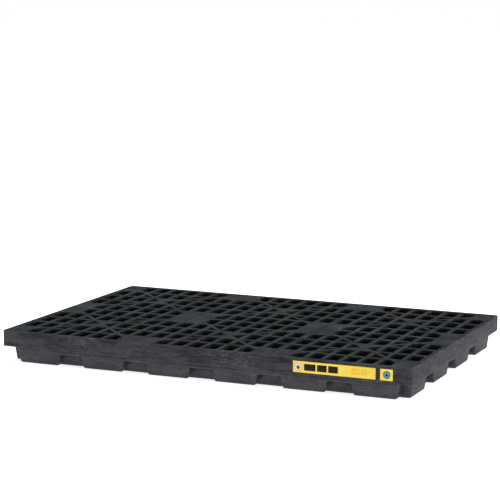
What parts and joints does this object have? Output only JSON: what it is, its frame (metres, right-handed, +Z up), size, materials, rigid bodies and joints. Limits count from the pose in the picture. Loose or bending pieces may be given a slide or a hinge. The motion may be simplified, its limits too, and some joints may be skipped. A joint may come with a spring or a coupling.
{
  "type": "spill containment pallet",
  "caption": "Low-profile spill containment pallet: a charcoal moulded sump tray with lift-out grates that hold drums clear of a leak.",
  "frame": {"origin": "centre of the footprint, on the ground", "axes": "+X along the long side, -Y towards the labelled front, +Z up"},
  "size_m": [1.854, 1.2453, 0.14],
  "materials": {
    "tray_plastic": "matte charcoal recycled polyethylene with pale flow marks and scuffs",
    "grate_plastic": "matte black recycled polyethylene, rubbed paler along the rib tops",
    "label_film": "satin yellow vinyl film with a thin dark border"
  },
  "bodies": {
    "tray": {"sump_tray": "tray_plastic", "label_strip": "label_film", "label_badge": "label_film"},
    "left_grate": {"grate_left": "grate_plastic"},
    "middle_grate": {"grate_middle": "grate_plastic"},
    "right_grate": {"grate_right": "grate_plastic"}
  },
  "joints": [
    {"name": "grate_left_lift", "type": "slide", "parent": "tray", "child": "left_grate", "axis": [0, 0, 1], "range_m": [0, 0.2]},
    {"name": "grate_middle_lift", "type": "slide", "parent": "tray", "child": "middle_grate", "axis": [0, 0, 1], "range_m": [0, 0.2]},
    {"name": "grate_right_lift", "type": "slide", "parent": "tray", "child": "right_grate", "axis": [0, 0, 1], "range_m": [0, 0.2]}
  ]
}
